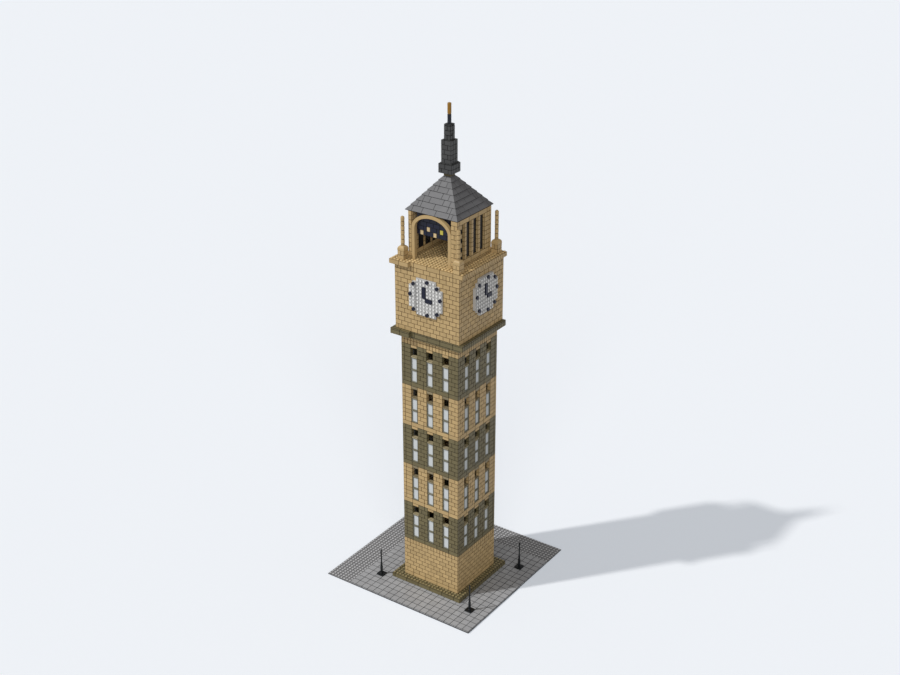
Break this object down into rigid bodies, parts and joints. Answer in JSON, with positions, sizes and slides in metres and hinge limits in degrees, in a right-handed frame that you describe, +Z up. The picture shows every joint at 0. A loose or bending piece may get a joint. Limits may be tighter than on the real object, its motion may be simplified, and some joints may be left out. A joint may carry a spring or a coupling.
{
  "type": "toy brick clock tower model",
  "caption": "Tall square clock tower built from toy bricks, with window bands, a dial on every side, an arched belfry, pinnacles, sloped roof and spire, on a tiled board.",
  "frame": {"origin": "centre of the base board's underside", "axes": "+Z up the tower, -Y the front with one clock dial, +X its right side; the tower's axis is off the board's centre"},
  "size_m": [0.384, 0.384, 1.096],
  "materials": {
    "board_grey": "smooth moulded plastic",
    "tile_grey": "smooth moulded plastic",
    "dark_brick": "smooth moulded plastic",
    "tan_brick": "smooth moulded plastic",
    "window_pane": "smooth moulded plastic",
    "dial_white": "smooth moulded plastic",
    "navy": "smooth moulded plastic",
    "panel_black": "smooth moulded plastic",
    "roof_grey": "smooth moulded plastic",
    "collar_olive": "smooth moulded plastic",
    "spire_grey": "smooth moulded plastic",
    "rod_dark": "smooth moulded plastic",
    "gold": "pearlescent moulded plastic",
    "lamp_black": "smooth moulded plastic"
  },
  "bodies": {
    "root": {"base_board": "board_grey", "paving": "tile_grey", "plinth": "dark_brick", "base_storey": "tan_brick", "storey_1_front_back": "dark_brick", "storey_1_sides": "dark_brick", "storey_1_panes": "window_pane", "storey_2_front_back": "tan_brick", "storey_2_sides": "tan_brick", "storey_2_panes": "window_pane", "storey_3_front_back": "dark_brick", "storey_3_sides": "dark_brick", "storey_3_panes": "window_pane", "storey_4_front_back": "tan_brick", "storey_4_sides": "tan_brick", "storey_4_panes": "window_pane", "storey_5_front_back": "dark_brick", "storey_5_sides": "dark_brick", "storey_5_panes": "window_pane", "frieze": "tan_brick", "lower_cornice": "dark_brick", "clock_storey_front_back": "tan_brick", "clock_storey_sides": "tan_brick", "clock_dials": "dial_white", "hour_marks": "navy", "clock_hands": "navy", "terrace": "tan_brick", "pinnacle_bases": "tan_brick", "pinnacle_shafts": "tan_brick", "belfry_front_back": "tan_brick", "belfry_sides": "tan_brick", "belfry_arches": "tan_brick", "arch_infill": "navy", "slot_panels": "panel_black", "roof": "roof_grey", "spire_collar": "collar_olive", "spire_base": "spire_grey", "spire_middle": "spire_grey", "spire_top": "spire_grey", "spire_rod": "rod_dark", "finial": "gold", "lamp_bases": "lamp_black", "lamp_poles": "lamp_black"}
  },
  "joints": []
}
